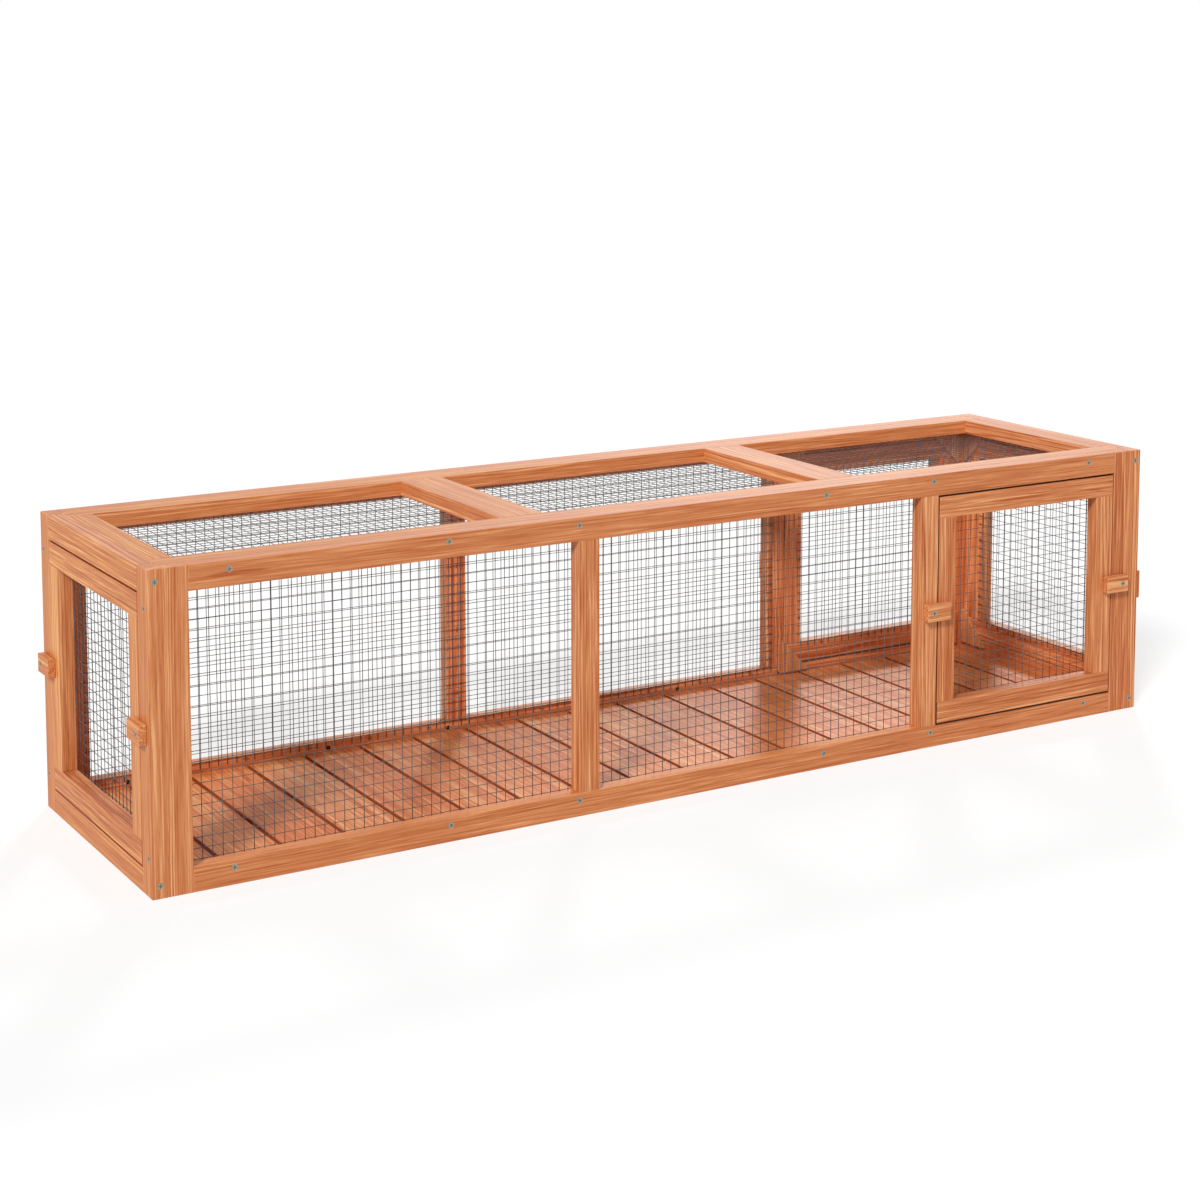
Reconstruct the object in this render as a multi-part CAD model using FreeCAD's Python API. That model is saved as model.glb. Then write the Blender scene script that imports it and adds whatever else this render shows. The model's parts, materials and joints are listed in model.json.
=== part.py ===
"""Outdoor cat tunnel: a wooden frame with wire mesh, four lift-out doors and turn buttons.

Millimetres. The origin is under the middle of the tunnel, on the ground.
X runs along the tunnel, Y from front to back and Z up.
"""
import FreeCAD
import Part
import math
import os

Vector = FreeCAD.Vector

# Overall size of the wooden body
LENGTH = 1498.6
DEPTH = 381.0
HEIGHT = 381.0

# Boards
BOARD_THICK = 20.0
BOARD_WIDE = 30.0
EDGE_CHAMFER = 0.6

# Roof and floor
CROSS_BAR_WIDE = 60.0
SLAT_COUNT = 18
SLAT_GAP = 5.0
SLAT_THICK = 8.0
BATTEN_THICK = 8.0
BATTEN_WIDE = 20.0
BATTEN_INSET = 30.0
FLOOR_CLEARANCE = 0.3

# Doors
FRONT_DOOR_WIDE = 317.5
DOOR_SIDE_GAP = 1.5
DOOR_SILL_GAP = 1.25
DOOR_HEAD_GAP = 2.25
STOP_LEG = 52.0
STOP_THICK = 6.0
STOP_LAP = 9.5

# Turn buttons
BUTTON_LONG = 40.0
BUTTON_BUTT = 10.5
BUTTON_HIGH = 24.0
BUTTON_THICK = 10.0
BUTTON_CORNER = 0.8
BUTTON_BACK_GAP = 0.2
BUTTON_EDGE_CLEARANCE = 0.75

# Wire mesh: a strand of the solid stands for a few wires side by side
WIRE_DIAMETER = 1.0
WIRE_PITCH = 12.7
MESH_THICK = 1.2
MESH_LAP = 8.0
PANEL_WIRES_PER_STRAND = 4
DOOR_WIRES_PER_STRAND = 2

# Screws
SHANK_RADIUS = 2.0
HEAD_RADIUS = 4.0
HEAD_SUNK = 0.2
POINT_LONG = 3.0
POINT_RADIUS = 0.6
RECESS_LONG = 4.6
RECESS_WIDE = 1.0
RECESS_DEEP = 1.4
HOLE_CLEARANCE = 0.05
HOLE_SPARE_DEPTH = 1.0
SCREW_GRIP = 15.0
END_SCREW_GRIP = 25.0
BUTTON_SCREW_GRIP = 17.0
RAIL_END_SCREW_INSET = 49.3
BAY_SCREW_OFFSET = 96.9
MIDDLE_SCREW_OFFSET = 24.1
FLOOR_SCREW_HEIGHT = 20.5
SIDE_SCREW_INSET = 46.0
EXIT_HOLE_RADIUS = 3.2
EXIT_HOLE_DEEP = 5.0

# Places that follow from the sizes above
END_OUT = LENGTH / 2
END_IN = END_OUT - BOARD_THICK
SIDE_OUT = DEPTH / 2
SIDE_IN = SIDE_OUT - BOARD_THICK
END_OPENING = SIDE_OUT - BOARD_WIDE
PANEL_OPENING = END_IN - BOARD_WIDE
RAIL_TOP = BOARD_WIDE
HEAD_BOTTOM = HEIGHT - BOARD_WIDE
ROOF_BOTTOM = HEIGHT - BOARD_THICK
ROOF_OPENING = SIDE_IN - BOARD_WIDE
DOORWAY_LEFT = PANEL_OPENING - FRONT_DOOR_WIDE - 2 * DOOR_SIDE_GAP
MULLION_LEFT = DOORWAY_LEFT - BOARD_WIDE
MIDDLE_MULLION = (MULLION_LEFT - PANEL_OPENING) / 2
ROOF_BAY = (2 * PANEL_OPENING - 2 * CROSS_BAR_WIDE) / 3
CROSS_BAR_INNER = ROOF_BAY / 2
CROSS_BAR_OUTER = CROSS_BAR_INNER + CROSS_BAR_WIDE
FLOOR_TOP = BATTEN_THICK + SLAT_THICK
DOOR_LOW = RAIL_TOP + DOOR_SILL_GAP
DOOR_HIGH = HEAD_BOTTOM - DOOR_HEAD_GAP
BUTTON_PIVOT_INSET = BUTTON_HIGH / 2 + BUTTON_EDGE_CLEARANCE
BUTTON_HEIGHT = HEIGHT / 2

nodes = {}
screw_holes = []


def block(low, high, chamfer=EDGE_CHAMFER):
    """A board between two corners, with all its edges broken by a small chamfer."""
    size = Vector(*high) - Vector(*low)
    solid = Part.makeBox(size.x, size.y, size.z, Vector(*low))
    return solid.makeChamfer(chamfer, solid.Edges)


def span(first, second):
    """Two bounds in rising order."""
    return min(first, second), max(first, second)


def add_board(name, x, y, z):
    """Store one board from its bounds along X, Y and Z."""
    nodes[name] = [block((x[0], y[0], z[0]), (x[1], y[1], z[1]))]


def aim(shape, place, outward):
    """Turn a shape that points up the Z axis to face outward, and move it to its place."""
    turned = shape.copy()
    turned.Placement = FreeCAD.Placement(place, FreeCAD.Rotation(Vector(0, 0, 1), outward))
    return turned


def wire_net(wide, high, wires_per_strand):
    """A flat net in the XY plane, centred, as one face with square holes, extruded upwards."""
    wire_section = math.pi * WIRE_DIAMETER ** 2 / 4
    strand = wires_per_strand * wire_section / MESH_THICK
    columns = round(wide / (WIRE_PITCH * wires_per_strand))
    rows = round(high / (WIRE_PITCH * wires_per_strand))
    column_pitch = (wide - strand) / columns
    row_pitch = (high - strand) / rows
    outline = Part.makePolygon(rectangle(-wide / 2, wide / 2, -high / 2, high / 2))
    holes = []
    for column in range(columns):
        left = strand - wide / 2 + column * column_pitch
        right = left + column_pitch - strand
        for row in range(rows):
            low = strand - high / 2 + row * row_pitch
            hole = Part.makePolygon(rectangle(left, right, low, low + row_pitch - strand))
            hole.reverse()
            holes.append(hole)
    face = Part.Face([outline] + holes)
    return face.extrude(Vector(0, 0, MESH_THICK))


def rectangle(left, right, low, high):
    """The closed corner list of a rectangle in the XY plane."""
    corners = [(left, low), (right, low), (right, high), (left, high), (left, low)]
    return [Vector(x, y, 0) for x, y in corners]


def upright_net(wide, high, wires_per_strand, centre, outward):
    """A net that stands upright against a face: its thickness grows against outward."""
    net = wire_net(wide, high, wires_per_strand)
    net.rotate(Vector(0, 0, 0), Vector(1, 0, 0), 90)
    quarter_turns = {(0, -1): 180, (0, 1): 0, (-1, 0): 90, (1, 0): -90}
    net.rotate(Vector(0, 0, 0), Vector(0, 0, 1), quarter_turns[(int(outward.x), int(outward.y))])
    net.translate(centre)
    return net


def screw(length):
    """A countersunk screw with a cross recess, its head's top at the origin, its tip down."""
    head = Part.makeCone(SHANK_RADIUS, HEAD_RADIUS, HEAD_RADIUS - SHANK_RADIUS)
    head.translate(Vector(0, 0, SHANK_RADIUS - HEAD_RADIUS))
    shank = Part.makeCylinder(SHANK_RADIUS, length - POINT_LONG, Vector(0, 0, POINT_LONG - length))
    tip = Part.makeCone(POINT_RADIUS, SHANK_RADIUS, POINT_LONG, Vector(0, 0, -length))
    solid = head.fuse([shank, tip]).removeSplitter()
    for long_x, long_y in ((RECESS_LONG, RECESS_WIDE), (RECESS_WIDE, RECESS_LONG)):
        corner = Vector(-long_x / 2, -long_y / 2, -RECESS_DEEP)
        solid = solid.cut(Part.makeBox(long_x, long_y, 2 * RECESS_DEEP, corner))
    return solid


def screw_hole(length):
    """The countersunk hole that a screw sits in, with its mouth open to the air."""
    reach = HEAD_SUNK + HEAD_RADIUS
    slope_low = SHANK_RADIUS + HOLE_CLEARANCE
    slope_high = slope_low + reach
    cone = Part.makeCone(slope_low, slope_high, reach, Vector(0, 0, SHANK_RADIUS - HEAD_RADIUS))
    depth = length + HOLE_SPARE_DEPTH
    bore = Part.makeCylinder(slope_low, depth, Vector(0, 0, -depth))
    return cone.fuse(bore)


def drive_screw(group, face_point, outward, length):
    """Place one screw with its head just under a wood face, and note the hole it needs."""
    seat = face_point - outward * HEAD_SUNK
    nodes.setdefault(group, []).append(aim(screw(length), seat, outward))
    screw_holes.append(aim(screw_hole(length), seat, outward))


def make_end_panels():
    for side, sign in (("left", -1), ("right", 1)):
        x = span(sign * END_OUT, sign * END_IN)
        for place, way in (("front", -1), ("back", 1)):
            y = span(way * SIDE_OUT, way * END_OPENING)
            add_board(f"{side}_end_{place}_stile", x, y, (0, HEIGHT))
        y = (-END_OPENING, END_OPENING)
        add_board(f"{side}_end_top_rail", x, y, (HEAD_BOTTOM, HEIGHT))
        add_board(f"{side}_end_bottom_rail", x, y, (0, RAIL_TOP))


def make_side_panels():
    for side, way in (("front", -1), ("back", 1)):
        y = span(way * SIDE_OUT, way * SIDE_IN)
        for place, sign in (("left", -1), ("right", 1)):
            x = span(sign * END_IN, sign * PANEL_OPENING)
            add_board(f"{side}_{place}_stile", x, y, (0, HEIGHT))
        x = (-PANEL_OPENING, PANEL_OPENING)
        add_board(f"{side}_top_rail", x, y, (HEAD_BOTTOM, HEIGHT))
        add_board(f"{side}_bottom_rail", x, y, (0, RAIL_TOP))
        x = (MIDDLE_MULLION - BOARD_WIDE / 2, MIDDLE_MULLION + BOARD_WIDE / 2)
        add_board(f"{side}_middle_mullion", x, y, (RAIL_TOP, HEAD_BOTTOM))
        x = (MULLION_LEFT, DOORWAY_LEFT)
        add_board(f"{side}_door_mullion", x, y, (RAIL_TOP, HEAD_BOTTOM))
        wide = PANEL_OPENING + MULLION_LEFT + 2 * MESH_LAP
        high = HEAD_BOTTOM - RAIL_TOP + 2 * MESH_LAP
        centre = Vector((MULLION_LEFT - PANEL_OPENING) / 2, way * SIDE_IN, HEIGHT / 2)
        net = upright_net(wide, high, PANEL_WIRES_PER_STRAND, centre, Vector(0, way, 0))
        nodes[f"{side}_mesh"] = [net]


def make_roof():
    z = (ROOF_BOTTOM, HEIGHT)
    for place, way in (("front", -1), ("back", 1)):
        y = span(way * SIDE_IN, way * ROOF_OPENING)
        add_board(f"roof_{place}_rail", (-END_IN, END_IN), y, z)
    y = (-ROOF_OPENING, ROOF_OPENING)
    for place, sign in (("left", -1), ("right", 1)):
        add_board(f"roof_{place}_stile", span(sign * END_IN, sign * PANEL_OPENING), y, z)
        x = span(sign * CROSS_BAR_INNER, sign * CROSS_BAR_OUTER)
        add_board(f"roof_{place}_cross_bar", x, y, z)
    wide = 2 * (PANEL_OPENING + MESH_LAP)
    deep = 2 * (ROOF_OPENING + MESH_LAP)
    net = wire_net(wide, deep, PANEL_WIRES_PER_STRAND)
    net.translate(Vector(0, 0, ROOF_BOTTOM - MESH_THICK))
    nodes["roof_mesh"] = [net]


def make_floor():
    end = END_IN - FLOOR_CLEARANCE
    side = SIDE_IN - FLOOR_CLEARANCE
    slat_wide = (2 * end - (SLAT_COUNT - 1) * SLAT_GAP) / SLAT_COUNT
    slats = []
    for index in range(SLAT_COUNT):
        left = -end + index * (slat_wide + SLAT_GAP)
        slats.append(block((left, -side, BATTEN_THICK), (left + slat_wide, side, FLOOR_TOP)))
    nodes["floor_slats"] = slats
    battens = []
    outer = side - BATTEN_INSET
    for middle in (-outer, 0, outer):
        low = (-end, middle - BATTEN_WIDE / 2, 0)
        high = (end, middle + BATTEN_WIDE / 2, BATTEN_THICK)
        battens.append(block(low, high))
    nodes["floor_battens"] = battens


def door_frame(wide):
    """The boards of a door that faces the front, with its outer face in the plane Y = 0."""
    left = -wide / 2
    right = wide / 2
    stile_low = DOOR_LOW + BOARD_WIDE
    stile_high = DOOR_HIGH - BOARD_WIDE
    top_rail = block((left, 0, stile_high), (right, BOARD_THICK, DOOR_HIGH))
    bottom_rail = block((left, 0, DOOR_LOW), (right, BOARD_THICK, stile_low))
    stiles = [
        block((left, 0, stile_low), (left + BOARD_WIDE, BOARD_THICK, stile_high)),
        block((right - BOARD_WIDE, 0, stile_low), (right, BOARD_THICK, stile_high)),
    ]
    net_wide = wide - 2 * BOARD_WIDE + 2 * MESH_LAP
    net_high = stile_high - stile_low + 2 * MESH_LAP
    centre = Vector(0, BOARD_THICK, (stile_low + stile_high) / 2)
    net = upright_net(net_wide, net_high, DOOR_WIRES_PER_STRAND, centre, Vector(0, -1, 0))
    return {"top_rail": [top_rail], "bottom_rail": [bottom_rail], "stiles": stiles, "mesh": [net]}


def corner_stops(opening_wide):
    """Four triangles behind the corners of a doorway that faces the front, outer face at Y = 0."""
    stops = []
    for across in (-1, 1):
        for corner_z, rise in ((RAIL_TOP - STOP_LAP, 1), (HEAD_BOTTOM + STOP_LAP, -1)):
            x = across * (opening_wide / 2 + STOP_LAP)
            corner = Vector(x, BOARD_THICK, corner_z)
            along = corner - Vector(across * STOP_LEG, 0, 0)
            upward = corner + Vector(0, 0, rise * STOP_LEG)
            face = Part.Face(Part.makePolygon([corner, along, upward, corner]))
            stops.append(face.extrude(Vector(0, STOP_THICK, 0)))
    return stops


def turn_button(toward):
    """A turn button that faces up, its pivot at the origin and its long end along toward."""
    low = (-BUTTON_BUTT, -BUTTON_HIGH / 2, BUTTON_BACK_GAP)
    high = (BUTTON_LONG - BUTTON_BUTT, BUTTON_HIGH / 2, BUTTON_BACK_GAP + BUTTON_THICK)
    body = block(low, high, BUTTON_CORNER)
    body.rotate(Vector(0, 0, 0), Vector(0, 0, 1), toward)
    return body


def facing(solid, outward_turn, middle):
    """Turn a piece drawn for the front about the upright axis and move it to its doorway."""
    placed = solid.copy()
    placed.rotate(Vector(0, 0, 0), Vector(0, 0, 1), outward_turn)
    placed.translate(middle)
    return placed


def place_button(name, pivot, outward_turn, toward):
    """Place a turn button and its pivot screw on a doorway's frame."""
    body = turn_button(toward)
    body.rotate(Vector(0, 0, 0), Vector(1, 0, 0), 90)
    outward = FreeCAD.Rotation(Vector(0, 0, 1), outward_turn).multVec(Vector(0, -1, 0))
    nodes[name] = [facing(body, outward_turn, pivot)]
    length = BUTTON_THICK + BUTTON_BACK_GAP + BUTTON_SCREW_GRIP
    head = pivot + outward * (BUTTON_BACK_GAP + BUTTON_THICK)
    drive_screw("button_screws", head, outward, length)


def make_doors():
    """The four doors with their stops and buttons; a left hand is left as seen from outside the door."""
    front_middle = (DOORWAY_LEFT + PANEL_OPENING) / 2
    front_opening = PANEL_OPENING - DOORWAY_LEFT
    end_opening = 2 * END_OPENING
    pointing_across = {-1: 0, 1: 180}
    hanging_down = {-1: -90, 1: -90}
    doorways = (
        ("front", Vector(front_middle, -SIDE_OUT, 0), 0, front_opening, pointing_across),
        ("back", Vector(front_middle, SIDE_OUT, 0), 180, front_opening, hanging_down),
        ("left", Vector(-END_OUT, 0, 0), -90, end_opening, pointing_across),
        ("right", Vector(END_OUT, 0, 0), 90, end_opening, hanging_down),
    )
    for name, middle, outward_turn, opening, button_turns in doorways:
        pieces = door_frame(opening - 2 * DOOR_SIDE_GAP)
        for piece, solids in pieces.items():
            nodes[f"{name}_door_{piece}"] = [facing(solid, outward_turn, middle) for solid in solids]
        for stop in corner_stops(opening):
            nodes.setdefault("door_stops", []).append(facing(stop, outward_turn, middle))
        for hand, across in (("left", -1), ("right", 1)):
            reach = across * (opening / 2 + BUTTON_PIVOT_INSET)
            offset = FreeCAD.Rotation(Vector(0, 0, 1), outward_turn).multVec(Vector(reach, 0, 0))
            pivot = middle + offset + Vector(0, 0, BUTTON_HEIGHT)
            place_button(f"{name}_door_{hand}_button", pivot, outward_turn, button_turns[across])


def make_frame_screws():
    rail_places = (
        PANEL_OPENING - RAIL_END_SCREW_INSET,
        CROSS_BAR_OUTER + BAY_SCREW_OFFSET,
        CROSS_BAR_INNER - MIDDLE_SCREW_OFFSET,
    )
    for way in (-1, 1):
        outward = Vector(0, way, 0)
        face = way * SIDE_OUT
        for sign in (-1, 1):
            for place in rail_places:
                roof_point = Vector(sign * place, face, HEIGHT - BOARD_THICK / 2)
                drive_screw("frame_screws", roof_point, outward, BOARD_THICK + SCREW_GRIP)
                floor_point = Vector(sign * place, face, FLOOR_SCREW_HEIGHT)
                drive_screw("frame_screws", floor_point, outward, BOARD_THICK - 2 * HEAD_SUNK)
                inner = Vector(sign * place, way * SIDE_IN, FLOOR_SCREW_HEIGHT)
                exit_hole = Part.makeCylinder(EXIT_HOLE_RADIUS, EXIT_HOLE_DEEP, inner, outward)
                screw_holes.append(exit_hole)
            for height in (BOARD_WIDE / 2, HEIGHT - BOARD_WIDE / 2):
                edge_point = Vector(sign * (END_OUT - BOARD_THICK / 2), face, height)
                drive_screw("frame_screws", edge_point, outward, BOARD_WIDE + END_SCREW_GRIP)
    for sign in (-1, 1):
        outward = Vector(sign, 0, 0)
        for way in (-1, 1):
            for height in (SIDE_SCREW_INSET, HEIGHT - SIDE_SCREW_INSET):
                point = Vector(sign * END_OUT, way * (SIDE_OUT - BOARD_THICK / 2), height)
                drive_screw("frame_screws", point, outward, BOARD_THICK + SCREW_GRIP)


def drill_boards():
    """Cut every screw hole out of each piece of wood that it meets."""
    for name, solids in nodes.items():
        if name.endswith(("_screws", "_mesh")):
            continue
        for index, solid in enumerate(solids):
            tools = [hole for hole in screw_holes if hole.BoundBox.intersect(solid.BoundBox)]
            if tools:
                drilled = solid.cut(tools)
                solids[index] = drilled.Solids[0]


def write_nodes():
    os.makedirs("parts", exist_ok=True)
    for name, solids in nodes.items():
        shape = solids[0] if len(solids) == 1 else Part.makeCompound(solids)
        if not shape.isValid():
            print("not valid:", name)
        shape.exportStep(f"parts/{name}.step")
    print(len(nodes), "nodes,", sum(len(solids) for solids in nodes.values()), "solids")


make_end_panels()
make_side_panels()
make_roof()
make_floor()
make_doors()
make_frame_screws()
drill_boards()
write_nodes()
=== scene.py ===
"""Looks of the outdoor cat tunnel: stained wood, welded wire mesh, zinc screws and a white studio."""
import bpy
import json
import math
import random
from collections import namedtuple
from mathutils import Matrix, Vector


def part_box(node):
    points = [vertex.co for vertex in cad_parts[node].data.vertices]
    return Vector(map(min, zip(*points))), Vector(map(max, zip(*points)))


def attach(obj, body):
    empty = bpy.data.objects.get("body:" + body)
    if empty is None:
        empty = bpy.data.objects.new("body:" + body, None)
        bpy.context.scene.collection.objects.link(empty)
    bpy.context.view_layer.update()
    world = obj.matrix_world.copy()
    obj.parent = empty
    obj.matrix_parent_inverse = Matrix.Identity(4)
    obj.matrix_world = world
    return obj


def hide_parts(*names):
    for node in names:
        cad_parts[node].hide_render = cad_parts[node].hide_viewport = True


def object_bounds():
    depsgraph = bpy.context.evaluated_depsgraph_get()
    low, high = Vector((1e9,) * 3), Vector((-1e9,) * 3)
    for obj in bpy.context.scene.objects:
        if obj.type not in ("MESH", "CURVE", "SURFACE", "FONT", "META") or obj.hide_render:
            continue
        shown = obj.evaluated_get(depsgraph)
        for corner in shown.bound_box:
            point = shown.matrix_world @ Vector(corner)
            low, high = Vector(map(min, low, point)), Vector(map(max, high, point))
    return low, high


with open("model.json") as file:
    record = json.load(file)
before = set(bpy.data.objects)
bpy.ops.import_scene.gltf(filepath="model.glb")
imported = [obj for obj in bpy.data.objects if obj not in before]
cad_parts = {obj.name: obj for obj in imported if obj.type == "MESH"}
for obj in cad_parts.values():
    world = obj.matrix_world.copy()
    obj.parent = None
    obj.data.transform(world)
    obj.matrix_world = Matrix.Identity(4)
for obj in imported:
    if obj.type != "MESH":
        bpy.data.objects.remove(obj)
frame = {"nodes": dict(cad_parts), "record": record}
cad_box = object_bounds()
nodes = frame["nodes"]
bodies = frame["record"]["behaviour"]["bodies"]

AXES = (0, 1, 2)
X, Y, Z = AXES

# Wire mesh: sizes in metres, and the number of wires along both axes of a net
WIRE_RADIUS = 0.00046
WIRE_PITCH = 0.0128
WIRE_SIDES = 6
WIRE_RING_STEP = 0.06
WIRE_WANDER = 0.00012
WELD_PRESS = 0.0001
SIDE_WIRES = (84, 26)
ROOF_WIRES = (111, 23)
DOOR_WIRES = (21, 21)

# Staples: sizes in metres, and the share of the crown that is flat
STAPLE_RADIUS = 0.00045
STAPLE_WIDE = 0.0058
STAPLE_FLAT = 0.75
STAPLE_BEND = 0.0008
STAPLE_BURIED = 0.001
STAPLE_INSET = 0.004
STAPLE_BAR_INSET = 0.015
WIRES_PER_STAPLE = 7

# Heights over the wood face: the middle of both layers of wire, and of a staple's crown on top of them
FIRST_LAYER = WIRE_RADIUS
SECOND_LAYER = 3 * WIRE_RADIUS - WELD_PRESS
STAPLE_CROWN = 4 * WIRE_RADIUS + STAPLE_RADIUS - WELD_PRESS

# Nodes that are a row of boards: how many, and sizes in metres
SLAT_COUNT = 18
SLAT_GAP = 0.005
BATTEN_COUNT = 3
BATTEN_WIDE = 0.02
STILE_COUNT = 2
STILE_WIDE = 0.03

# Camera that matches the viewing angle of the photograph, in metres, degrees and millimetres of lens
CAMERA_PLACE = (-1.6118, -2.6170, 0.9634)
CAMERA_YAW = 30.896
CAMERA_PITCH = 6.326
CAMERA_LENS = 69.409
CAMERA_SHIFT = -0.25
LEVEL_TILT = 90.0

# Light: strengths, headings on the ground, and angles in degrees
WHITE = (1.0, 1.0, 1.0)
WORLD_LEVEL = 0.36
FRONT_SUN = 2.62
FRONT_SUN_HEADING = (0.78, 0.62)
FRONT_SUN_ELEVATION = 38.0
FRONT_SUN_SOFTNESS = 12.0
BACK_SUN = 1.05
BACK_SUN_HEADING = (-0.60, -0.80)
BACK_SUN_ELEVATION = 33.0
BACK_SUN_SOFTNESS = 8.0
SUN_FAR = 3.0

# Stage floor: what lights the object, and what the camera sees
STAGE_SIZE = 80.0
STAGE_DROP = 0.0002
STAGE_MATT = (0.85, 0.85, 0.85)
STAGE_SHADE = (0.35, 0.35, 0.35)
STAGE_GLOW = 0.66

# Wood stain, from the darkest streak to the lightest, in linear colour
FRAME_STAIN = (
    (0.40, 0.091, 0.026),
    (0.490, 0.143, 0.045),
    (0.570, 0.197, 0.070),
    (0.660, 0.265, 0.107),
    (0.800, 0.395, 0.180),
)
FLOOR_STAIN = (
    (0.45, 0.092, 0.023),
    (0.61, 0.157, 0.044),
    (0.725, 0.224, 0.069),
    (0.800, 0.315, 0.116),
    (0.890, 0.480, 0.225),
)

# Finish of a kind of board: its stain, how strong its figure and pale lines are, and how rough it is
Finish = namedtuple("Finish", "stain figure pale_line pale_ring roughness")
FRAME = Finish(FRAME_STAIN, figure=1.3, pale_line=0.30, pale_ring=0.36, roughness=(0.36, 0.46))
DOOR = FRAME._replace(figure=1.6)
FLOOR = Finish(FLOOR_STAIN, figure=1.3, pale_line=0.55, pale_ring=0.16, roughness=(0.32, 0.42))

# Shine of the frame, and of the floor from one slat to another along the tunnel
FRAME_SPECULAR = 0.17
FLOOR_SPECULAR = (0.05, 0.105)
SHEEN_SLATS = (2.0, 11.0)

# Noise in the wood: cycles per metre along and across the grain, detail, roughness
PATTERNS = {
    "warp": (2.2, 26.0, 1.5, 0.5),
    "uneven": (0.3, 70.0, 1.0, 0.5),
    "bands": (1.3, 170.0, 2.0, 0.55),
    "fibre": (11.0, 540.0, 2.0, 0.6),
    "fleck": (45.0, 800.0, 1.0, 0.5),
    "patches": (5.0, 22.0, 2.0, 0.5),
    "streak": (1.2, 420.0, 1.0, 0.5),
    "cluster": (0.8, 30.0, 1.0, 0.5),
}
NOISE_MIDDLE = 0.5
NOISE_SPAN = (0.3, 0.7)

# Where in the noise a board lies: reach of the random start, and the step from board to board in a row
FIGURE_REACH = 9.0
ROW_STEP = 0.731

# Growth rings about a pith outside the board, in degrees and metres
PITH_CORNERS = (45, 135, 225, 315)
PITH_WANDER = 14.0
PITH_FAR = (0.060, 0.140)
RING_SPACING = (0.0036, 0.0054)
RING_WARP = 0.022
RING_UNEVEN = 0.010

# Lines in a ring: where in the ring each rises and falls, and which chance gives it which strength
LATE_RISE = (0.72, 0.90)
LATE_FALL = (0.94, 1.0)
LATE_CHANCE = (0.25, 1.0)
LATE_STRENGTH = (0.1, 1.0)
EARLY_RISE = (0.05, 0.20)
EARLY_FALL = (0.40, 0.60)
EARLY_CHANCE = (0.60, 0.80)
EARLY_SEED_STEP = 0.5

# Strength of each part of the figure, in steps of the stain from 0 to 1, and the noise it comes from
MIDDLE_TONE = 0.5
BAND_GAIN = 0.32
FIBRE_GAIN = 1.25
PATCH_GAIN = 0.35
DARK_LINE = 0.58
FLECK_GAIN = 0.18
FLECK_SPAN = (0.60, 0.72)
STREAK_SPAN = (0.56, 0.66)
CLUSTER_SPAN = (0.46, 0.62)
CLUSTER_STRENGTH = (0.1, 1.0)
TONE_SPREAD = 0.06
ROW_SPREAD = 0.24

# Boards that are lighter or darker than the rest
BOARD_TONES = {
    "front_middle_mullion": 0.04,
    "front_left_stile": 0.03,
    "front_right_stile": -0.10,
    "front_door_mullion": 0.06,
    "front_door_stiles": -0.06,
    "front_door_top_rail": 0.02,
    "front_door_bottom_rail": -0.14,
    "front_bottom_rail": 0.04,
    "front_top_rail": 0.02,
    "left_end_back_stile": -0.08,
    "left_end_front_stile": 0.02,
    "left_end_top_rail": -0.08,
    "left_end_bottom_rail": -0.06,
    "left_door_top_rail": 0.05,
    "left_door_bottom_rail": -0.08,
    "roof_right_stile": -0.06,
    "roof_left_cross_bar": -0.05,
    "roof_left_stile": 0.06,
    "roof_front_rail": 0.03,
    "floor_slats": 0.06,
    # The door stops are lighter as painted light, for the light their sloped edge catches
    "door_stops": 0.2,
}

# Boards whose figure is stronger than their kind's
BOARD_FIGURES = {
    "front_right_stile": 2.4,
    "front_middle_mullion": 1.9,
    "front_door_mullion": 1.7,
    "left_door_top_rail": 2.1,
    "left_door_bottom_rail": 2.3,
    "left_end_top_rail": 1.7,
    "roof_left_stile": 1.7,
}

# Relief of the fibres, and of the dark lines against them
LINE_RELIEF = 0.5
BUMP_STRENGTH = 0.25
BUMP_DEPTH = 0.0003

# Paler edges of the frame boards, partly wear and partly painted highlight where the edges catch light:
# how wide, how strong, and the noise that breaks them up
EDGE_WEAR_HIGHLIGHT_WIDE = 0.0014
EDGE_WEAR_HIGHLIGHT_GAIN = 0.4
GRIT_SPAN = (0.35, 0.65)
GRIT_STRENGTH = (0.1, 1.0)

# Painted shade that darkens the middle of the floor: from which distance to which
MIDDLE_SHADE_EDGE = (0.02, 0.11)
MIDDLE_SHADE_TINT = (0.84, 0.84, 0.88)

# Painted light on faces, by node or side: brighter sides that lie in shade, redder bounce light inside, a
# lighter lit ledge, less blue on tops and the left end against their sheen; axis, way it looks, its tint,
# tint of the others
LIT_LEDGE_TINT = (1.20, 1.12, 0.78)
FACE_EDGE = (0.0001, 0.0005)
PAINTED_LIGHT_TINTS = {
    "roof": (Z, 1.0, (1.0, 1.0, 0.70), (1.20, 1.22, 1.22)),
    "left": (X, -1.0, (1.0, 1.0, 0.72), WHITE),
    "right": (X, -1.0, (1.18, 1.08, 1.03), WHITE),
    "back": (Y, -1.0, (1.10, 0.97, 0.95), WHITE),
    "front_bottom_rail": (Z, 1.0, LIT_LEDGE_TINT, WHITE),
    "roof_right_stile": (Z, 1.0, (1.0, 1.0, 0.70), (1.32, 1.50, 1.72)),
    "back_middle_mullion": (Y, -1.0, (1.22, 0.92, 0.87), WHITE),
}

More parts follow.
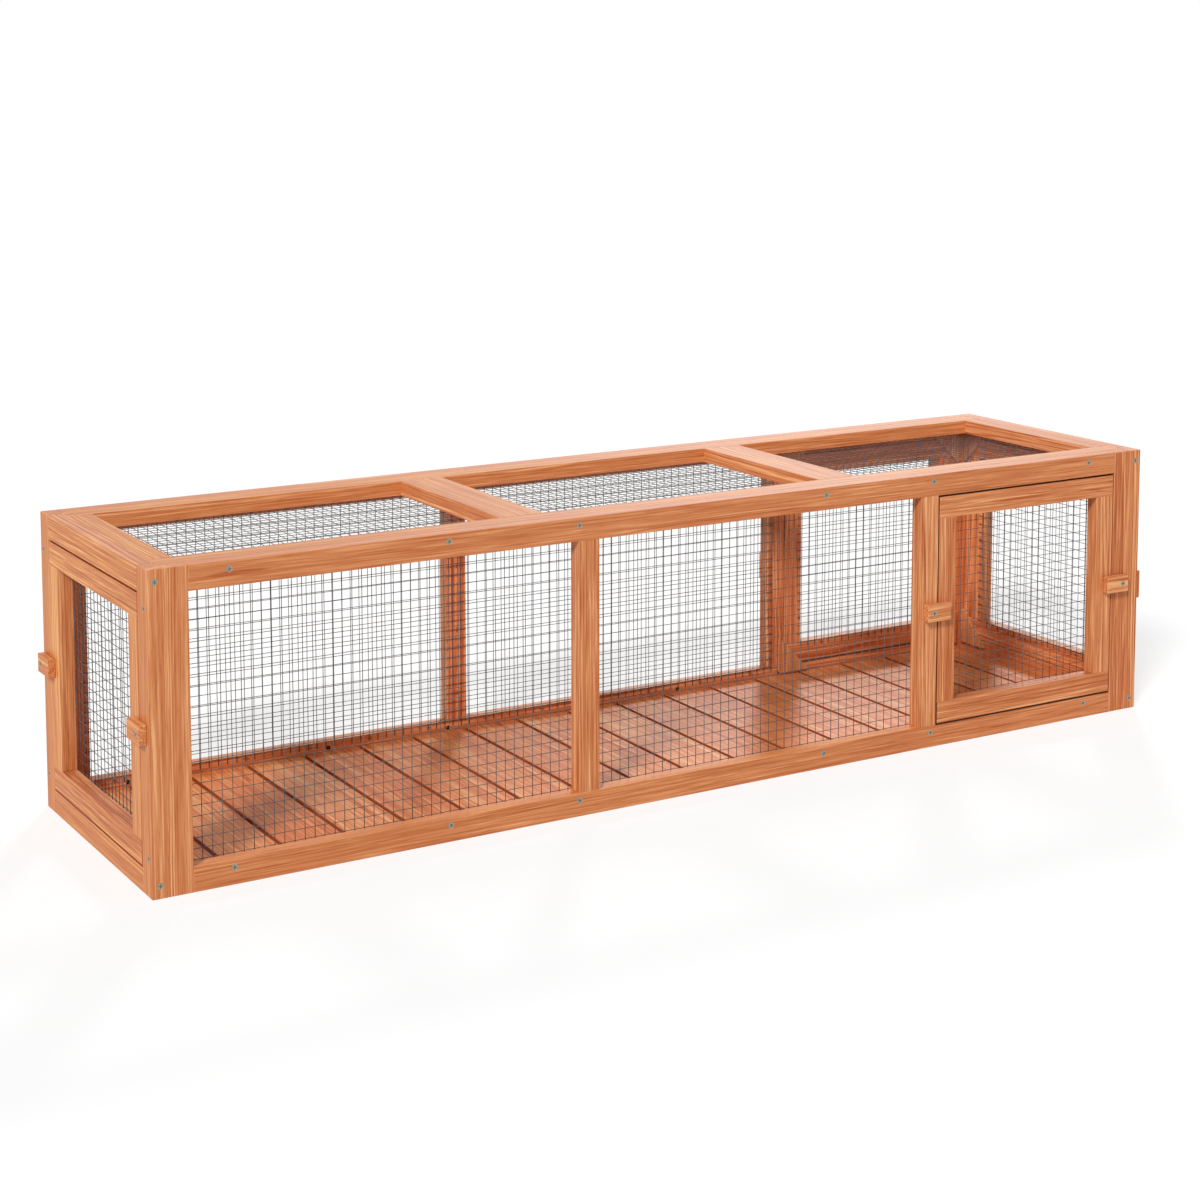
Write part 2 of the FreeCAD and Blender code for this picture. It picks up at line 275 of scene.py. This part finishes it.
# Painted shade on the sides of the slats, in the seams round the front and left doors, and on the back
# sill under its door
SIDE_DARK = 0.95
SLAT_EDGE = (0.0003, 0.0008)
SLAT_SIDE_SHADE = (0.40, 0.080, 0.018)
SEAM_EDGE = (0.0001, 0.0005)
BOTTOM_SEAM_EDGE = (0.0005, 0.0012)
SEAM_SHADES = {
    "front": (0.09, 0.022, 0.009),
    "left": (0.34, 0.075, 0.022),
    "back_bottom_rail": (0.16, 0.044, 0.016),
}

# Painted shade inside the screw holes that come out of the sills, from which depth to which
BORED = ("front_bottom_rail", "back_bottom_rail")
BORE_EDGE = (0.0007, 0.0014)
BORE_SHADE = (0.03, 0.010, 0.005)

# Coating of the wire: dust on it, colours by amount of dust, and roughness
DUST_SCALE = 90.0
DUST_DETAIL = 3.0
WIRE_COLORS = ((0.3, (0.07, 0.062, 0.058)), (0.7, (0.12, 0.109, 0.103)))
WIRE_ROUGHNESS = (0.36, 0.52)

# Zinc plating: wear spots, colours by amount of wear, and roughness
SPOT_SCALE = 700.0
SPOT_DETAIL = 3.0
SPOT_ROUGHNESS = 0.6
ZINC_COLORS = (
    (0.3, (0.24, 0.23, 0.18)),
    (0.55, (0.36, 0.345, 0.275)),
    (0.75, (0.50, 0.48, 0.40)),
)
ZINC_ROUGHNESS = (0.48, 0.3)

# Sockets of a mix node that blends colours: names repeat there, so they are taken by number
MIX_FACTOR = 0
MIX_FIRST = 6
MIX_SECOND = 7
MIX_RESULT = 2

# Where a new stop of a ramp lies until it gets its own place
ANY_PLACE = 0.5


def body_of(node):
    """The name of the body that a node rides on."""
    return next(name for name, members in bodies.items() if node in members)


def opaque(color):
    """A colour with full alpha, as sockets take it."""
    return (*color, 1.0)


def add(tree, kind, inputs=None, **settings):
    """Add a shader node, set its settings, and set or link its inputs."""
    made = tree.nodes.new(kind)
    for key, value in settings.items():
        setattr(made, key, value)
    for key, value in (inputs or {}).items():
        if isinstance(value, bpy.types.NodeSocket):
            tree.links.new(value, made.inputs[key])
        else:
            made.inputs[key].default_value = value
    return made


def calc(tree, operation, first, second=0.0):
    """The output of one math node."""
    return add(tree, "ShaderNodeMath", {0: first, 1: second}, operation=operation).outputs[0]


def total(tree, parts):
    """The sum of several values."""
    result = parts[0]
    for part in parts[1:]:
        result = calc(tree, "ADD", result, part)
    return result


def fit(tree, value, low, high, to_low, to_high):
    """A value moved from one range to another, held at the ends."""
    keys = {"Value": value, "From Min": low, "From Max": high, "To Min": to_low, "To Max": to_high}
    return add(tree, "ShaderNodeMapRange", keys).outputs["Result"]


def rising(tree, value, low, high):
    """A mask that rises from 0 at low to 1 at high."""
    return fit(tree, value, low, high, 0.0, 1.0)


def falling(tree, value, low, high):
    """A mask that falls from 1 at low to 0 at high."""
    return fit(tree, value, low, high, 1.0, 0.0)


def noise(tree, vector, scale=1.0, detail=2.0, roughness=0.5):
    """The value of a noise texture."""
    keys = {"Vector": vector, "Scale": scale, "Detail": detail, "Roughness": roughness}
    return add(tree, "ShaderNodeTexNoise", keys).outputs["Fac"]


def chance(tree, number, seed):
    """A random value from 0 to 1 for each whole number."""
    spot = calc(tree, "ADD", number, seed)
    return add(tree, "ShaderNodeTexWhiteNoise", {"W": spot}, noise_dimensions="1D").outputs["Value"]


def swing(tree, value, gain):
    """A noise value as a swing about zero."""
    return calc(tree, "MULTIPLY", calc(tree, "SUBTRACT", value, NOISE_MIDDLE), gain)


def ramp(tree, value, stops):
    """The colour of a ramp with stops at rising places: (place, linear colour)."""
    made = add(tree, "ShaderNodeValToRGB", {0: value})
    elements = made.color_ramp.elements
    while len(elements) < len(stops):
        elements.new(ANY_PLACE)
    for element, (place, color) in zip(elements, stops):
        element.position = place
        element.color = opaque(color)
    return made.outputs["Color"]


def blend_color(tree, factor, first, second, mode="MIX"):
    """Two colours mixed, or multiplied, by a factor."""
    keys = {MIX_FACTOR: factor, MIX_FIRST: first, MIX_SECOND: second}
    return add(tree, "ShaderNodeMix", keys, data_type="RGBA", blend_type=mode).outputs[MIX_RESULT]


def object_place(tree):
    """The place of the shaded point in its object."""
    return add(tree, "ShaderNodeTexCoord").outputs["Object"]


def new_material(name):
    """A material with its tree and its shader, ready for textures."""
    material = bpy.data.materials.new(name)
    material.use_nodes = True
    tree = material.node_tree
    shader = tree.nodes["Principled BSDF"]
    return material, tree, shader


def give_material(node, material):
    """Give a node one material in place of its old ones."""
    nodes[node].data.materials.clear()
    nodes[node].data.materials.append(material)


class Board:
    """A wooden node while it is dressed: its shader, its finish and the shaded place on one board."""

    def __init__(self, node, grain, finish, row):
        self.node = node
        self.side = node.split("_")[0]
        self.grain = grain
        self.finish = finish
        self.row_axis = row[0] if row else None
        self.material, self.tree, self.shader = new_material("wood_" + node)
        low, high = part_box(node)
        self.local, self.half, self.number = local_place(self.tree, low, high, row)

    def own(self, table):
        """The entry of a table for this node, or else for its side, or None."""
        return table.get(self.node, table.get(self.side))

    def side_gap(self, axis, sign=None):
        """The distance from a face of the board: from the nearer one, or from the one sign points to."""
        if sign is None:
            reach = calc(self.tree, "ABSOLUTE", self.local[axis])
        else:
            reach = calc(self.tree, "MULTIPLY", self.local[axis], sign)
        return calc(self.tree, "SUBTRACT", self.half[axis], reach)


def local_place(tree, low, high, row):
    """The place on a board from its own middle, half its size, and its number in its row."""
    parts = list(add(tree, "ShaderNodeSeparateXYZ", {0: object_place(tree)}).outputs)
    half = [(high[axis] - low[axis]) / 2 for axis in AXES]
    middle = [(high[axis] + low[axis]) / 2 for axis in AXES]
    number = None
    if row:
        axis, count, wide = row
        pitch = (high[axis] - low[axis] - wide) / (count - 1)
        from_first = calc(tree, "SUBTRACT", parts[axis], low[axis] + wide / 2)
        pitches = calc(tree, "DIVIDE", from_first, pitch)
        number = calc(tree, "ROUND", pitches)
        parts[axis] = calc(tree, "MULTIPLY", calc(tree, "SUBTRACT", pitches, number), pitch)
        half[axis] = wide / 2
        middle[axis] = 0.0
    local = [calc(tree, "SUBTRACT", parts[axis], middle[axis]) for axis in AXES]
    return local, half, number


def stretched_noise(tree, place, along_scale, across_scale, detail, roughness):
    """Noise at a place given as (along, across, across), drawn out along the grain."""
    scales = (along_scale, across_scale, across_scale)
    scaled = [calc(tree, "MULTIPLY", part, scale) for part, scale in zip(place, scales)]
    vector = add(tree, "ShaderNodeCombineXYZ", dict(enumerate(scaled))).outputs[0]
    return noise(tree, vector, detail=detail, roughness=roughness)


def growth_rings(tree, wide, deep, patterns, spacing, seed):
    """Rings about the pith: thin dark late-wood lines of their own strength, and a few pale lines."""
    squares = [calc(tree, "MULTIPLY", part, part) for part in (wide, deep)]
    radius = calc(tree, "SQRT", total(tree, squares))
    warp = swing(tree, patterns["warp"], RING_WARP)
    uneven = swing(tree, patterns["uneven"], RING_UNEVEN)
    turns = calc(tree, "DIVIDE", total(tree, [radius, warp, uneven]), spacing)
    phase = calc(tree, "FRACT", turns)
    ring = calc(tree, "FLOOR", turns)
    late = calc(tree, "MULTIPLY", rising(tree, phase, *LATE_RISE), falling(tree, phase, *LATE_FALL))
    late_strength = fit(tree, chance(tree, ring, seed), *LATE_CHANCE, *LATE_STRENGTH)
    early = calc(tree, "MULTIPLY", rising(tree, phase, *EARLY_RISE), falling(tree, phase, *EARLY_FALL))
    early_strength = rising(tree, chance(tree, ring, seed + EARLY_SEED_STEP), *EARLY_CHANCE)
    dark = calc(tree, "MULTIPLY", late, late_strength)
    pale = calc(tree, "MULTIPLY", early, early_strength)
    return dark, pale


def wood_figure(board, seed):
    """The tone of the stain from 0 to 1, the noise patterns, and the dark lines of the growth rings."""
    draw = random.Random(seed)
    tree, finish = board.tree, board.finish
    shift = [draw.uniform(-FIGURE_REACH, FIGURE_REACH) for _ in AXES]
    pith_angle = math.radians(draw.choice(PITH_CORNERS) + draw.uniform(-PITH_WANDER, PITH_WANDER))
    pith_far = draw.uniform(*PITH_FAR)
    spacing = draw.uniform(*RING_SPACING)
    own_tone = BOARD_TONES.get(board.node, draw.uniform(-TONE_SPREAD, TONE_SPREAD))
    if board.number is not None:
        shift[1] = calc(tree, "MULTIPLY", board.number, ROW_STEP)

    wide_axis, deep_axis = [axis for axis in AXES if axis != board.grain]
    wide = calc(tree, "ADD", board.local[wide_axis], pith_far * math.cos(pith_angle))
    deep = calc(tree, "ADD", board.local[deep_axis], pith_far * math.sin(pith_angle))
    grain_place = (board.local[board.grain], wide, deep)
    place = [calc(tree, "ADD", part, start) for part, start in zip(grain_place, shift)]
    patterns = {name: stretched_noise(tree, place, *sizes) for name, sizes in PATTERNS.items()}
    dark, pale_ring = growth_rings(tree, wide, deep, patterns, spacing, seed)
    clusters = fit(tree, patterns["cluster"], *CLUSTER_SPAN, *CLUSTER_STRENGTH)
    pale = calc(tree, "MULTIPLY", rising(tree, patterns["streak"], *STREAK_SPAN), clusters)

    figure = BOARD_FIGURES.get(board.node, finish.figure)
    parts = [
        swing(tree, patterns["bands"], BAND_GAIN * figure),
        swing(tree, patterns["fibre"], FIBRE_GAIN * figure),
        swing(tree, patterns["patches"], PATCH_GAIN),
        calc(tree, "MULTIPLY", dark, -DARK_LINE),
        calc(tree, "MULTIPLY", pale, finish.pale_line),
        calc(tree, "MULTIPLY", pale_ring, finish.pale_ring),
        fit(tree, patterns["fleck"], *FLECK_SPAN, 0.0, -FLECK_GAIN),
        MIDDLE_TONE + own_tone,
    ]
    if board.number is not None:
        parts.append(swing(tree, chance(tree, board.number, seed), ROW_SPREAD))
    return total(tree, parts), patterns, dark


def painted_face_light(board, color):
    """The colour with the painted light of a face, where the node has one."""
    tints = board.own(PAINTED_LIGHT_TINTS)
    if tints is None:
        return color
    axis, sign, face_tint, other_tint = tints
    facing = falling(board.tree, board.side_gap(axis, sign), *FACE_EDGE)
    tint = blend_color(board.tree, facing, opaque(other_tint), opaque(face_tint))
    return blend_color(board.tree, 1.0, color, tint, "MULTIPLY")


def worn_highlit_edges(board, color, grit):
    """The colour with paler edges, partly wear and partly painted highlight, where the second smallest
    distance from a face is small.
    """
    tree = board.tree
    gaps = [board.side_gap(axis) for axis in AXES]
    low = calc(tree, "MINIMUM", gaps[X], gaps[Y])
    high = calc(tree, "MAXIMUM", gaps[X], gaps[Y])
    second = calc(tree, "MAXIMUM", low, calc(tree, "MINIMUM", high, gaps[Z]))
    near = falling(tree, second, 0.0, EDGE_WEAR_HIGHLIGHT_WIDE)
    broken = calc(tree, "MULTIPLY", near, fit(tree, grit, *GRIT_SPAN, *GRIT_STRENGTH))
    wear = calc(tree, "MULTIPLY", broken, EDGE_WEAR_HIGHLIGHT_GAIN)
    return blend_color(tree, wear, color, opaque(board.finish.stain[-1]))


def shaded_floor_middle(board, color):
    """The colour with painted shade in the middle of the floor."""
    middle_shade = falling(board.tree, calc(board.tree, "ABSOLUTE", board.local[Y]), *MIDDLE_SHADE_EDGE)
    return blend_color(board.tree, middle_shade, color, opaque(MIDDLE_SHADE_TINT), "MULTIPLY")


def shaded_holes(board, color):
    """The colour with painted shade inside the holes: what lies deep in the board shows only there."""
    tree = board.tree
    depths = [board.side_gap(axis) for axis in AXES]
    depth = calc(tree, "MINIMUM", calc(tree, "MINIMUM", depths[X], depths[Y]), depths[Z])
    return blend_color(tree, rising(tree, depth, *BORE_EDGE), color, opaque(BORE_SHADE))


def sill_gap(board):
    """The distance below the top of a sill, under the door that stands on it."""
    tree, grain = board.tree, board.grain
    low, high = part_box(board.node)
    door_low, door_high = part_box(board.side + "_door_bottom_rail")
    middle = (door_low[grain] + door_high[grain] - low[grain] - high[grain]) / 2
    away = calc(tree, "ABSOLUTE", calc(tree, "SUBTRACT", board.local[grain], middle))
    past = calc(tree, "SUBTRACT", away, (door_high[grain] - door_low[grain]) / 2)
    return calc(tree, "MAXIMUM", past, board.side_gap(Z, 1.0))


def outer_gap(board):
    """The distance from the sides that a slat, a door board or a sill turns to another, or None."""
    tree, node = board.tree, board.node
    if node.startswith("floor_"):
        return board.side_gap(board.row_axis)
    if node.endswith("_door_stiles"):
        # Stile 0 turns its outer side down the axis, stile 1 up it
        outward = calc(tree, "SUBTRACT", calc(tree, "MULTIPLY", board.number, 2.0), 1.0)
        return board.side_gap(board.row_axis, outward)
    if node.endswith("_bottom_rail") and "_door_" not in node:
        return sill_gap(board)
    if "_door_" in node and node.endswith("_rail"):
        outward = 1.0 if node.endswith("top_rail") else -1.0
        return calc(tree, "MINIMUM", board.side_gap(board.grain), board.side_gap(Z, outward))
    return None


def shaded_sides(board, color):
    """The colour with painted shade on the slats' sides or in the seams, where the node has them."""
    if board.finish is FLOOR:
        stain, edge = SLAT_SIDE_SHADE, SLAT_EDGE
    else:
        stain = board.own(SEAM_SHADES)
        edge = BOTTOM_SEAM_EDGE if board.node.endswith("_bottom_rail") else SEAM_EDGE
    gap = outer_gap(board) if stain else None
    if gap is None:
        return color
    return blend_color(board.tree, fit(board.tree, gap, *edge, SIDE_DARK, 0.0), color, opaque(stain))


def satin(board, fibre, dark):
    """The shine and the fine relief of the stained wood."""
    tree, shader = board.tree, board.shader
    tree.links.new(fit(tree, fibre, *NOISE_SPAN, *board.finish.roughness), shader.inputs["Roughness"])
    if board.finish is FLOOR:
        sheen = fit(tree, board.number, *SHEEN_SLATS, *FLOOR_SPECULAR)
        tree.links.new(sheen, shader.inputs["Specular IOR Level"])
    else:
        shader.inputs["Specular IOR Level"].default_value = FRAME_SPECULAR
    relief = calc(tree, "SUBTRACT", fibre, calc(tree, "MULTIPLY", dark, LINE_RELIEF))
    keys = {"Strength": BUMP_STRENGTH, "Distance": BUMP_DEPTH, "Height": relief}
    bump = add(tree, "ShaderNodeBump", keys)
    tree.links.new(bump.outputs["Normal"], shader.inputs["Normal"])


def stained_wood(node, grain, seed, finish, row=None, worn_highlit=True):
    """Straight-grained softwood with a satin stain: growth rings about a far pith, bands and fibres."""
    board = Board(node, grain, finish, row)
    tone, patterns, dark = wood_figure(board, seed)
    last = len(finish.stain) - 1
    color = ramp(board.tree, tone, [(index / last, shade) for index, shade in enumerate(finish.stain)])
    # Painted light: faces brighter, redder or less blue by how light falls on them
    color = painted_face_light(board, color)
    if finish is FLOOR:
        # Painted shade in the middle of the floor
        color = shaded_floor_middle(board, color)
    elif worn_highlit:
        # Paler edges: partly wear, partly painted highlight
        color = worn_highlit_edges(board, color, patterns["patches"])
    if node in BORED:
        # Painted shade inside the screw holes
        color = shaded_holes(board, color)
    # Painted shade on the sides of the slats and in the seams round the doors
    color = shaded_sides(board, color)
    board.tree.links.new(color, board.shader.inputs["Base Color"])
    satin(board, patterns["fibre"], dark)
    give_material(node, board.material)


def coated_wire():
    """Dark coating on welded steel wire, a little dusty."""
    material, tree, shader = new_material("coated_wire")
    dust = noise(tree, object_place(tree), scale=DUST_SCALE, detail=DUST_DETAIL)
    tree.links.new(ramp(tree, dust, WIRE_COLORS), shader.inputs["Base Color"])
    tree.links.new(fit(tree, dust, *NOISE_SPAN, *WIRE_ROUGHNESS), shader.inputs["Roughness"])
    return material


def zinc():
    """Zinc-plated steel with a slight yellow-green cast and small wear spots."""
    material, tree, shader = new_material("zinc")
    place = object_place(tree)
    wear = noise(tree, place, scale=SPOT_SCALE, detail=SPOT_DETAIL, roughness=SPOT_ROUGHNESS)
    tree.links.new(ramp(tree, wear, ZINC_COLORS), shader.inputs["Base Color"])
    shader.inputs["Metallic"].default_value = 1.0
    tree.links.new(fit(tree, wear, *NOISE_SPAN, *ZINC_ROUGHNESS), shader.inputs["Roughness"])
    return material


def dress_wood():
    """Give every wooden node its own stain pattern, with the grain along the board."""
    for seed, name in enumerate(sorted(nodes)):
        if name.endswith(("_mesh", "_screws")):
            continue
        low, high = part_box(name)
        size = high - low
        finish = DOOR if "_door_" in name else FRAME
        if name == "floor_slats":
            slat_wide = (size.x + SLAT_GAP) / SLAT_COUNT - SLAT_GAP
            stained_wood(name, Y, seed, FLOOR, row=(X, SLAT_COUNT, slat_wide))
        elif name == "floor_battens":
            stained_wood(name, X, seed, FLOOR, row=(Y, BATTEN_COUNT, BATTEN_WIDE))
        elif name.endswith("_stiles"):
            width_axis = X if size.x > size.y else Y
            stained_wood(name, Z, seed, finish, row=(width_axis, STILE_COUNT, STILE_WIDE))
        elif name == "door_stops":
            stained_wood(name, Z, seed, finish, worn_highlit=False)
        else:
            grain = max(AXES, key=lambda axis: size[axis])
            stained_wood(name, grain, seed, finish)


def dress_screws():
    """Give all screws the zinc plating."""
    plating = zinc()
    for name in ("frame_screws", "button_screws"):
        give_material(name, plating)


def tube(points, radius, sides, mesh_points, mesh_faces):
    """Add a closed round tube along points to two lists."""
    rings = []
    for index, point in enumerate(points):
        before = points[max(index - 1, 0)]
        after = points[min(index + 1, len(points) - 1)]
        heading = (after - before).normalized()
        side = heading.orthogonal().normalized()
        other = heading.cross(side)
        ring = []
        for step in range(sides):
            angle = 2 * math.pi * step / sides
            ring.append(len(mesh_points))
            mesh_points.append(point + radius * (math.cos(angle) * side + math.sin(angle) * other))
        rings.append(ring)
    for first, second in zip(rings, rings[1:]):
        for step in range(sides):
            after = (step + 1) % sides
            mesh_faces.append((first[step], first[after], second[after], second[step]))
    mesh_faces.append(tuple(reversed(rings[0])))
    mesh_faces.append(tuple(rings[-1]))


def mesh_piece(name, points, faces, material, body):
    """A mesh object that rides on a body, smooth apart from the ends of its tubes."""
    mesh = bpy.data.meshes.new(name)
    mesh.from_pydata(points, [], faces)
    mesh.polygons.foreach_set("use_smooth", [len(face) == 4 for face in faces])
    mesh.materials.append(material)
    mesh.update()
    piece = bpy.data.objects.new(name, mesh)
    bpy.context.scene.collection.objects.link(piece)
    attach(piece, body)
    return piece


class Net:
    """The layout of a welded mesh: its box and axes, the wood face it lies on, and its wire places."""

    def __init__(self, node, counts):
        self.low, self.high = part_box(node)
        size = self.high - self.low
        self.thin = min(AXES, key=lambda axis: size[axis])
        self.first, self.second = [axis for axis in AXES if axis != self.thin]
        middle = (self.low + self.high) / 2
        cabin = (cad_box[0] + cad_box[1]) / 2
        self.inward = 1.0 if cabin[self.thin] > middle[self.thin] else -1.0
        self.wood_face = self.low[self.thin] if self.inward > 0 else self.high[self.thin]
        self.places = []
        for axis, count in zip((self.first, self.second), counts):
            start = -(count - 1) / 2
            self.places.append([middle[axis] + (start + index) * WIRE_PITCH for index in range(count)])

    def depth(self, distance):
        """The place on the thin axis at a distance from the wood face towards the cabin."""
        return self.wood_face + self.inward * distance

    def point(self, run, run_place, step, step_place, depth):
        """A point of a wire or a staple from its places on the three axes."""
        made = Vector((0.0, 0.0, 0.0))
        made[run] = run_place
        made[step] = step_place
        made[self.thin] = depth
        return made


def wire_mesh(node, counts, material, extra_lines=()):
    """The welded wire mesh that stands for a net, and the staples that hold it."""
    net = Net(node, counts)
    draw = random.Random(node)
    points, faces = [], []
    layers = (
        (net.second, net.first, net.places[0], net.depth(FIRST_LAYER)),
        (net.first, net.second, net.places[1], net.depth(SECOND_LAYER)),
    )
    for run, step, spots, depth in layers:
        length = net.high[run] - net.low[run]
        rings = max(2, round(length / WIRE_RING_STEP) + 1)
        for spot in spots:
            path = []
            for index in range(rings):
                run_place = net.low[run] + length * index / (rings - 1)
                step_place = spot + draw.gauss(0, WIRE_WANDER)
                path.append(net.point(run, run_place, step, step_place, depth))
            tube(path, WIRE_RADIUS, WIRE_SIDES, points, faces)
    stem = node.replace("_mesh", "")
    body = body_of(node)
    piece = mesh_piece(stem + "_wire_mesh", points, faces, material, body)
    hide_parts(node)
    points, faces = staples(net, extra_lines)
    mesh_piece(stem + "_mesh_staples", points, faces, material, body)


def staple_path(net, run, spot, step, line):
    """A staple with its crown along run, centred on a wire at spot, on the line at a place along step."""
    crown = net.depth(STAPLE_CROWN)
    bend = crown - net.inward * STAPLE_BEND
    foot = net.depth(-STAPLE_BURIED)
    leg = ((-1.0, foot), (-1.0, bend), (-STAPLE_FLAT, crown))
    other_leg = [(-offset, depth) for offset, depth in reversed(leg)]
    path = []
    for offset, depth in (*leg, *other_leg):
        path.append(net.point(run, spot + offset * STAPLE_WIDE / 2, step, line, depth))
    return path


def staples(net, extra_lines):
    """Points and faces of the staples along a net's border and along inner boards, each over one wire."""
    points, faces = [], []
    rows = ((net.first, net.second, net.places[0]), (net.second, net.first, net.places[1]))
    for run, step, spots in rows:
        lines = [net.low[step] + STAPLE_INSET, net.high[step] - STAPLE_INSET]
        lines += [line for axis, line in extra_lines if axis == step]
        for spot in spots[WIRES_PER_STAPLE // 2::WIRES_PER_STAPLE]:
            for line in lines:
                tube(staple_path(net, run, spot, step, line), STAPLE_RADIUS, WIRE_SIDES, points, faces)
    return points, faces


def dress_meshes():
    """Put wire meshes in place of all nets, stapled to their borders, the mullions and the cross bars."""
    wire = coated_wire()
    for side in ("front", "back"):
        low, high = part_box(side + "_middle_mullion")
        wire_mesh(side + "_mesh", SIDE_WIRES, wire, [(X, (low.x + high.x) / 2)])
    bars = []
    for side in ("left", "right"):
        low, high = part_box(f"roof_{side}_cross_bar")
        bars += [(X, low.x + STAPLE_BAR_INSET), (X, high.x - STAPLE_BAR_INSET)]
    wire_mesh("roof_mesh", ROOF_WIRES, wire, bars)
    for side in ("front", "back", "left", "right"):
        wire_mesh(side + "_door_mesh", DOOR_WIRES, wire)


def seen_rays(tree):
    """1 for rays that the camera sees, straight, mirrored or through glass, and 0 for other light."""
    rays = add(tree, "ShaderNodeLightPath").outputs
    seen = calc(tree, "MAXIMUM", rays["Is Camera Ray"], rays["Is Glossy Ray"])
    return calc(tree, "MAXIMUM", seen, rays["Is Transmission Ray"])


def make_floor():
    """A white floor: pale for the camera, with the object's shadow kept."""
    bpy.ops.mesh.primitive_plane_add(size=STAGE_SIZE, location=(0, 0, -STAGE_DROP))
    floor = bpy.context.object
    floor.name = "floor_stage"
    material = bpy.data.materials.new("floor_stage")
    material.use_nodes = True
    tree = material.node_tree
    tree.nodes.clear()
    matt = add(tree, "ShaderNodeBsdfDiffuse", {"Color": opaque(STAGE_MATT)})
    shade = add(tree, "ShaderNodeBsdfDiffuse", {"Color": opaque(STAGE_SHADE)})
    glow = add(tree, "ShaderNodeEmission", {"Color": opaque(WHITE), "Strength": STAGE_GLOW})
    pale = add(tree, "ShaderNodeAddShader", {0: shade.outputs[0], 1: glow.outputs[0]})
    keys = {0: seen_rays(tree), 1: matt.outputs[0], 2: pale.outputs[0]}
    mixed = add(tree, "ShaderNodeMixShader", keys)
    out = add(tree, "ShaderNodeOutputMaterial", {0: mixed.outputs[0]})
    out.is_active_output = True
    floor.data.materials.append(material)


def make_world():
    """A plain white background that lights the object at a lower level."""
    world = bpy.data.worlds.new("studio")
    bpy.context.scene.world = world
    world.use_nodes = True
    tree = world.node_tree
    tree.nodes.clear()
    level = fit(tree, seen_rays(tree), 0.0, 1.0, WORLD_LEVEL, 1.0)
    sky = add(tree, "ShaderNodeBackground", {"Color": opaque(WHITE), "Strength": level})
    add(tree, "ShaderNodeOutputWorld", {0: sky.outputs[0]})


def make_sun(name, strength, heading, elevation, softness):
    """A soft lamp that shines along heading, down from its elevation."""
    lamp = bpy.data.lights.new(name, "SUN")
    lamp.energy = strength
    lamp.angle = math.radians(softness)
    sun = bpy.data.objects.new(name, lamp)
    flat = Vector((*heading, 0.0)).normalized() * math.cos(math.radians(elevation))
    ray = Vector((flat.x, flat.y, -math.sin(math.radians(elevation))))
    sun.rotation_euler = ray.to_track_quat("-Z", "Y").to_euler()
    sun.location = -SUN_FAR * ray
    bpy.context.scene.collection.objects.link(sun)


def make_camera():
    """The camera of the photograph."""
    camera = bpy.data.objects.new("camera", bpy.data.cameras.new("camera"))
    camera.data.lens = CAMERA_LENS
    camera.data.shift_y = CAMERA_SHIFT
    camera.location = CAMERA_PLACE
    camera.rotation_euler = (math.radians(LEVEL_TILT - CAMERA_PITCH), 0.0, math.radians(-CAMERA_YAW))
    bpy.context.scene.collection.objects.link(camera)
    bpy.context.scene.camera = camera


dress_wood()
dress_screws()
dress_meshes()
make_floor()
make_world()
make_sun("front_sun", FRONT_SUN, FRONT_SUN_HEADING, FRONT_SUN_ELEVATION, FRONT_SUN_SOFTNESS)
make_sun("back_sun", BACK_SUN, BACK_SUN_HEADING, BACK_SUN_ELEVATION, BACK_SUN_SOFTNESS)
make_camera()
bpy.context.scene.view_settings.view_transform = "Standard"
